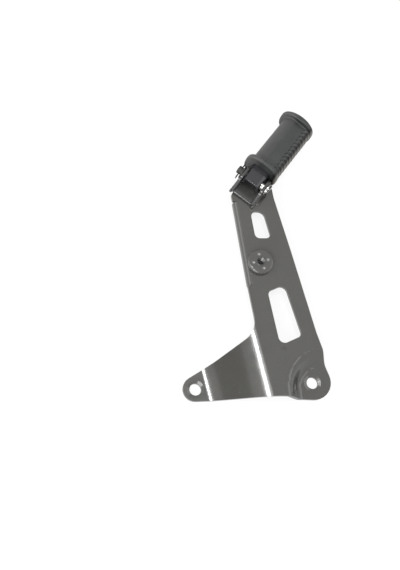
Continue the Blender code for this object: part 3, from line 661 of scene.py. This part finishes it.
dimple_places = []
for turn in DIMPLE_TURNS:
    bpy.ops.object.select_all(action="DESELECT")
    out = Vector((math.cos(math.radians(turn)), math.sin(math.radians(turn)), 0))
    dimple_places.append(Vector((NUT_CENTRE.x, NUT_CENTRE.y, FACE_TOP)) + out * DIMPLE_CIRCLE)
    up = Vector((0, 0, DIMPLE_BALL - DIMPLE_DEPTH))
    bpy.ops.mesh.primitive_uv_sphere_add(segments=48, ring_count=32, radius=DIMPLE_BALL,
                                         location=dimple_places[-1] + up)
    ball = bpy.context.object
    dimple = nut.modifiers.new("dimple", "BOOLEAN")
    dimple.object = ball
    dimple.solver = "EXACT"
    apply_all(nut)
    bpy.data.objects.remove(ball)

settle(nut)
# The nut's dimples get a painted highlight.
NUT_PAINT = paint("nut_paint", GUNMETAL, gloss=0.1, coat=0.35, specular=0.5, lit_spots=dimple_places)
finish_piece(nut, "bracket", "weld_nut", NUT_PAINT, gentle=28.0)

# %% [markdown]
# The clevis is folded from thinner sheet, and the pin passes through its two ears. Its edges could
# be rounded like the plate's. One flat chamfer suits it better: like the worn near edge of the
# real one, it mirrors the front panel as a single bright line.

# %% Clevis
clevis = copy_node("clevis", "clevis_channel")
round_edges(clevis, SHEET_ROUNDING, segments=1, new_faces=FLAT_FACES, clamp=False)
finish_piece(clevis, "bracket", "clevis", CLEVIS_PAINT)

# %% [markdown]
# A weld bead is a row of overlapping drops, each frozen before the next. A plain rod would lack
# their steps. So flattened balls are set in a slightly wavering row, joined, remeshed into one
# skin and smoothed.

# %% Weld beads
HEADING = Vector((-HINGE["axis"][1], HINGE["axis"][0], 0))
BEAD_LENGTH = 21.0 * MM
BEAD_ENDS = 2.6 * MM
DROPS = 12
DROP_RADIUS = 1.45 * MM
DROP_FLATTENING = 0.85
DROP_HEIGHT = 1.0 * MM
BEAD_INSET = 0.1 * MM
WAVER = 0.12 * MM
WAVER_TURN = 2.4
BEAD_VOXEL = 0.25 * MM


def weld_bead(node, name):
    """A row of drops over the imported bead, which wavers a little from side to side."""
    low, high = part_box(node)
    middle = (low + high) / 2
    side = 1 if (middle - PIVOT).cross(HEADING).z < 0 else -1
    left = Vector((-HEADING.y, HEADING.x, 0)) * side
    drops = []
    for i in range(DROPS):
        along = (i - (DROPS - 1) / 2) * (BEAD_LENGTH - BEAD_ENDS) / (DROPS - 1)
        wobble = WAVER * math.sin(WAVER_TURN * i)
        place = middle + HEADING * along + left * (wobble - BEAD_INSET)
        bpy.ops.object.select_all(action="DESELECT")
        bpy.ops.mesh.primitive_uv_sphere_add(segments=20, ring_count=12, radius=DROP_RADIUS,
                                             location=(place.x, place.y, low.z + DROP_HEIGHT))
        drops.append(bpy.context.object)
        drops[-1].scale = (1.0, 1.0, DROP_FLATTENING)
    bpy.ops.object.select_all(action="DESELECT")
    for drop in drops:
        drop.select_set(True)
    bpy.context.view_layer.objects.active = drops[0]
    bpy.ops.object.join()
    bead = drops[0]
    bead.name = name
    settle(bead)
    skin = bead.modifiers.new("skin", "REMESH")
    skin.mode = "VOXEL"
    skin.voxel_size = BEAD_VOXEL
    soft = bead.modifiers.new("soft", "SMOOTH")
    soft.iterations = 2
    apply_all(bead)
    finish_piece(bead, "bracket", node, CLEVIS_PAINT, gentle=60.0)


weld_bead("weld_bead_left", "left_weld")
weld_bead("weld_bead_right", "right_weld")

# %% [markdown]
# The pin and its washers are turned and punched parts that a lathe outline could give too. Their
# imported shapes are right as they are, so a bevel only takes the edges off. The split pin is bent
# from wire, and Subdivision Surface rounds it all over, which a bevel can't do.

# %% Pin, washers and split pin
PIN_ROUNDING = 0.35 * MM
WASHER_ROUNDING = 0.3 * MM

for node, name, rounding in (("pivot_pin", "hinge_pin", PIN_ROUNDING),
                             ("head_washer", "washer_by_head", WASHER_ROUNDING),
                             ("end_washer", "washer_by_end", WASHER_ROUNDING)):
    piece = copy_node(node, name)
    round_edges(piece, rounding)
    finish_piece(piece, "bracket", node, ZINC)

cotter = copy_node("cotter_pin", "split_pin")
rounder = cotter.modifiers.new("rounder", "SUBSURF")
rounder.levels = 1
rounder.render_levels = 1
apply_all(cotter)
finish_piece(cotter, "bracket", "cotter_pin", ZINC, gentle=60.0)

# %% [markdown]
# The peg's core is a steel channel, painted black, with a rounded heel behind the pin. It passes
# very close to the clevis at the end of its swing. A bevel that is held back where edges crowd
# would leave sharp corners there, so here every edge gets its full rounding.

# %% Peg core
core = copy_node("peg_core", "peg_channel")
round_edges(core, SHEET_ROUNDING, clamp=False)
finish_piece(core, "peg", "peg_core", CORE_PAINT)

# %% [markdown]
# Rubber comes out of its mould with every inner corner filleted. A bevel could fillet them, but
# the many short edges of the ribs would get in its way. A voxel remesh turns the copy into one
# even skin instead, and smoothing melts its corners together as the mould does.

# %% Rubber sleeve
SLEEVE_VOXEL = 0.46 * MM

sleeve = copy_node("peg_rubber", "rubber_sleeve")
skin = sleeve.modifiers.new("skin", "REMESH")
skin.mode = "VOXEL"
skin.voxel_size = SLEEVE_VOXEL
soft = sleeve.modifiers.new("soft", "SMOOTH")
soft.factor = 0.5
soft.iterations = 1
apply_all(sleeve)
finish_piece(sleeve, "peg", "peg_rubber", RUBBER, gentle=60.0)
